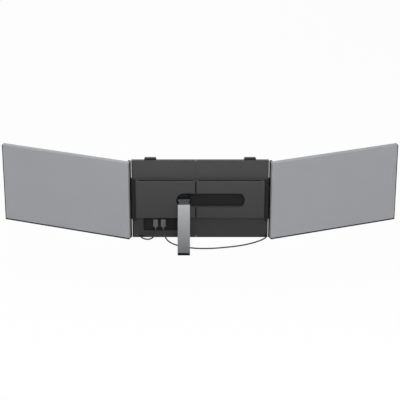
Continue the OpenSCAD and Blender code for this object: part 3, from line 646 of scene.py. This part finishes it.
# %% [markdown]
# A moulded spine covers each screen's hinge. Its corner beside the plate is cut back, which
# leaves a slit of light between plate and screen. The solid spine is copied and its loose
# triangles are merged. An upright plane then cuts it, and the hole that this leaves is closed.
# A thin trim of the same plastic covers the cover's inner edge, at the screen's open angle.

# %% Chamfered hinge spines
SPINE_CUT = 157.8 * MM
OPEN_ANGLE = math.radians(20.7)
SPINE_CORNER = Vector((159.75, -5.05, 0)) * MM
TRIM_X, TRIM_Y, TRIM_Z = (159.5, 159.85), (-8.3, -5.05), (3.2, 190.8)


def open_edges(shape):
    return [edge for edge in shape.edges if edge.is_boundary]


for side, sign in (("left", -1), ("right", 1)):
    spine = bmesh.new()
    spine.from_mesh(nodes[side + "_hinge_spine"].data)
    bmesh.ops.remove_doubles(spine, verts=spine.verts, dist=MERGE_DISTANCE)
    bmesh.ops.bisect_plane(spine, geom=everything(spine), plane_co=(sign * SPINE_CUT, 0, 0),
                           plane_no=(-sign, 0, 0), clear_outer=True)
    bmesh.ops.holes_fill(spine, edges=open_edges(spine), sides=0)
    print("open edges left:", len(open_edges(spine)))
    solid = set(spine.verts)
    soft_box(spine, sorted(sign * edge for edge in TRIM_X), TRIM_Y, TRIM_Z, 0.1, 2)
    bmesh.ops.rotate(spine, verts=[v for v in spine.verts if v not in solid],
                     cent=(sign * SPINE_CORNER.x, SPINE_CORNER.y, 0),
                     matrix=Matrix.Rotation(sign * OPEN_ANGLE, 3, "Z"))
    spine = piece_of(side + "_spine_cover", spine, bezel_plastic, side + "_screen")
    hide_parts(side + "_hinge_spine")

# %% [markdown]
# The disc that the leg turns on is a shallow cup, and a raised collar stands in it round the
# pivot. The collar is open at the bottom, where the leg passes, so a round section is turned
# by a spin through the upper part of the circle only, and its two ends are filled. It takes
# the leg head's plastic, lighter than the disc: a painted highlight along its arc.

# %% Collar in the disc
PIVOT = Vector((-37.1, -8, 98.4)) * MM
COLLAR_RADIUS = 10.2 * MM
COLLAR_THICKNESS = 0.9 * MM
COLLAR_START = math.radians(-28)
COLLAR_SWEEP = math.radians(124)

collar = bmesh.new()
section = bmesh.ops.create_circle(
    collar, cap_ends=False, segments=16, radius=COLLAR_THICKNESS,
    matrix=Matrix.Translation(PIVOT + Vector((COLLAR_RADIUS, 0, 0))))
bmesh.ops.rotate(collar, verts=section["verts"], cent=PIVOT,
                 matrix=Matrix.Rotation(COLLAR_START, 3, "Y"))
bmesh.ops.spin(collar, geom=collar.edges[:], cent=PIVOT, axis=(0, -1, 0), dvec=(0, 0, 0),
               angle=COLLAR_SWEEP, steps=40, use_merge=False, use_duplicate=False)
bmesh.ops.holes_fill(collar, edges=open_edges(collar), sides=0)
# Painted highlight: the collar's lighter plastic.
piece_of("disc_collar", collar, head_plastic_and_collar_highlight, "stand_swivel")

# %% [markdown]
# The room is as plain as it can be: a pale floor and an even sky. They look white to the
# camera by way of the Light Path node, so the lamps need not be turned up until the object
# washes out. A small share of the floor's own shading stays in, and with it the shadow.

# %% Floor and sky
WHITE = (1, 1, 1, 1)
FLOOR_TONE = (0.86, 0.86, 0.86, 1)
FLOOR_HALF_WIDTH = 12
FLOOR_DROP = 0.05 * MM
FLOOR_GLOW_SHARE = 0.92
SKY_LIGHT = 0.06  # the sky's strength for rays that light the object

tile = bmesh.new()
bmesh.ops.create_grid(tile, x_segments=1, y_segments=1, size=FLOOR_HALF_WIDTH)
bmesh.ops.translate(tile, verts=tile.verts, vec=(0, 0, -FLOOR_DROP))
floor_mesh = bpy.data.meshes.new("floor")
tile.to_mesh(floor_mesh)
tile.free()
floor = link("floor", floor_mesh)

pale = Finish("pale floor", {"Base Color": FLOOR_TONE, "Roughness": 0.9})
glow = pale.add("ShaderNodeEmission", {}, {"Color": WHITE, "Strength": 1.0})
lit = Wire(pale, pale.shader.outputs[0])
mixed = pale.add("ShaderNodeMixShader", {}, {0: pale.seen() * FLOOR_GLOW_SHARE, 1: lit, 2: glow})
pale.feed(pale.tree.nodes["Material Output"].inputs["Surface"], mixed)
wear(floor, pale.material)

world = bpy.data.worlds.new("sky")
bpy.context.scene.world = world
sky = Shading(world)
background = sky.tree.nodes["Background"].inputs
sky.feed(background["Color"], WHITE)
sky.feed(background["Strength"], sky.seen() * (1 - SKY_LIGHT) + SKY_LIGHT)
print("sky light:", SKY_LIGHT)

# %% [markdown]
# Four large square lamps light the object as soft boxes would in a studio. The widest one
# is in front of the covers, and its size keeps the shadow of the leg soft. One overhead
# brightens the upper edges, a weak one at the side evens out the two covers, and one on the
# far side lights the screens. Sun lamps would do it with fewer numbers but leave hard shadows.

# %% Lamps
LAMPS = {  # place in metres, width in metres, power in watts
    "side": ((-4.0, -1.1, 1.6), 1.0, 10),
    "front": ((0.55, -4.55, 3.2), 3.6, 154),
    "top": ((0.0, -1.0, 3.1), 1.4, 62),
    "screens": ((-0.6, 4.4, 2.6), 2.0, 90),
}
for name, (where, width, power) in LAMPS.items():
    data = bpy.data.lights.new(name, "AREA")
    data.size = width
    data.energy = power
    lamp = link(name, data)
    lamp.location = where
    lamp.rotation_euler = (look_at - Vector(where)).to_track_quat("-Z", "Y").to_euler()
print("lamps:", len(LAMPS))

bpy.context.scene.view_settings.view_transform = "Standard"
